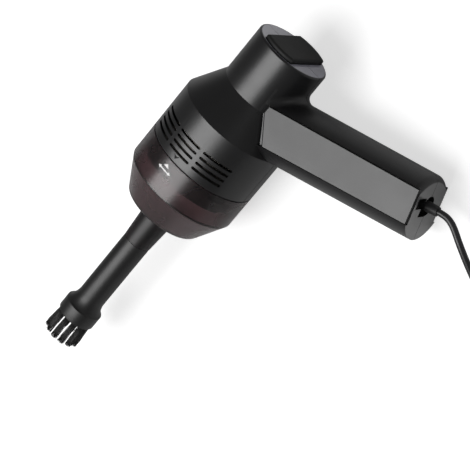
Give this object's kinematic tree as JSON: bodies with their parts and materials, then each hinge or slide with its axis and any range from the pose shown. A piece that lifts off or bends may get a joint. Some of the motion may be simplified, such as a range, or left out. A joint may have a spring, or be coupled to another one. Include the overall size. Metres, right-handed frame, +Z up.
{
  "type": "hand-held vacuum cleaner",
  "caption": "Small hand-held vacuum cleaner with vented barrel, turned-off dust cup, brush nozzle, straight grip, power button and coiled USB lead, lying on its side.",
  "frame": {"origin": "middle of the object's bounding box at the surface it lies on, measured without the lead, its plug and its strain relief", "axes": "+X along the barrel towards the power button, -Y towards the handle's end, +Z up from the surface"},
  "size_m": [0.2223, 0.2687, 0.0613],
  "materials": {
    "body_black": "satin",
    "plate_black": "satin",
    "button_black": "satin",
    "nozzle_black": "satin",
    "smoky_clear": "polished, see-through",
    "soft_black": "matt",
    "filter_white": "satin",
    "filter_paper": "matt paper",
    "bristle_black": "satin",
    "rotor_plastic": "satin",
    "steel": "ground",
    "screw_steel": "plated",
    "motor_steel": "plated",
    "motor_plastic": "satin",
    "brass": "plated",
    "copper_ring": "ground",
    "magnet": "matt",
    "lead_sheath": "smooth",
    "cord_black": "satin",
    "plug_steel": "plated"
  },
  "bodies": {
    "housing": {"housing_upper": "body_black", "housing_lower": "body_black", "side_plate_upper": "plate_black", "side_plate_lower": "plate_black", "housing_screws": "screw_steel", "collar": "body_black", "seal_ring": "soft_black", "filter_frame": "filter_white", "filter_sheet": "filter_paper", "motor_mount": "body_black", "motor_screws": "screw_steel", "motor_can": "motor_steel", "motor_cap": "motor_plastic", "motor_tabs": "brass", "motor_magnets": "magnet", "switch_carrier": "body_black", "switch_body": "motor_plastic", "switch_prongs": "brass", "strain_relief": "soft_black", "supply_leads": "lead_sheath", "motor_lead": "brass", "cord_lead": "cord_black", "cord_coil": "cord_black", "cord_tail": "cord_black", "plug_grip": "cord_black", "plug_metal": "plug_steel", "plug_tongue": "filter_white", "plug_contacts": "brass"},
    "dust_cup": {"dust_cup": "smoky_clear"},
    "nozzle": {"brush_nozzle": "nozzle_black", "brush_bristles": "bristle_black"},
    "rotor": {"motor_shaft": "steel", "impeller": "rotor_plastic", "motor_armature": "steel", "motor_commutator": "copper_ring"},
    "button": {"power_button": "button_black", "switch_plunger": "filter_white"}
  },
  "joints": [
    {"name": "dust_cup_twist", "type": "hinge", "parent": "housing", "child": "dust_cup", "pos_m": [0.02216, 0.03914, 0.0306], "axis": [1, 0, 0], "range_deg": [0, 20]},
    {"name": "brush_nozzle_pull", "type": "slide", "parent": "dust_cup", "child": "nozzle", "axis": [-1, 0, 0], "range_m": [0, 0.012]},
    {"name": "power_button_press", "type": "slide", "parent": "housing", "child": "button", "axis": [-1, 0, 0], "range_m": [0, 0.002], "stiffness_N_per_m": 800, "springref_m": -0.001},
    {"name": "rotor_spin", "type": "hinge", "parent": "housing", "child": "rotor", "pos_m": [0.02216, 0.03914, 0.0306], "axis": [1, 0, 0], "continuous": true}
  ]
}
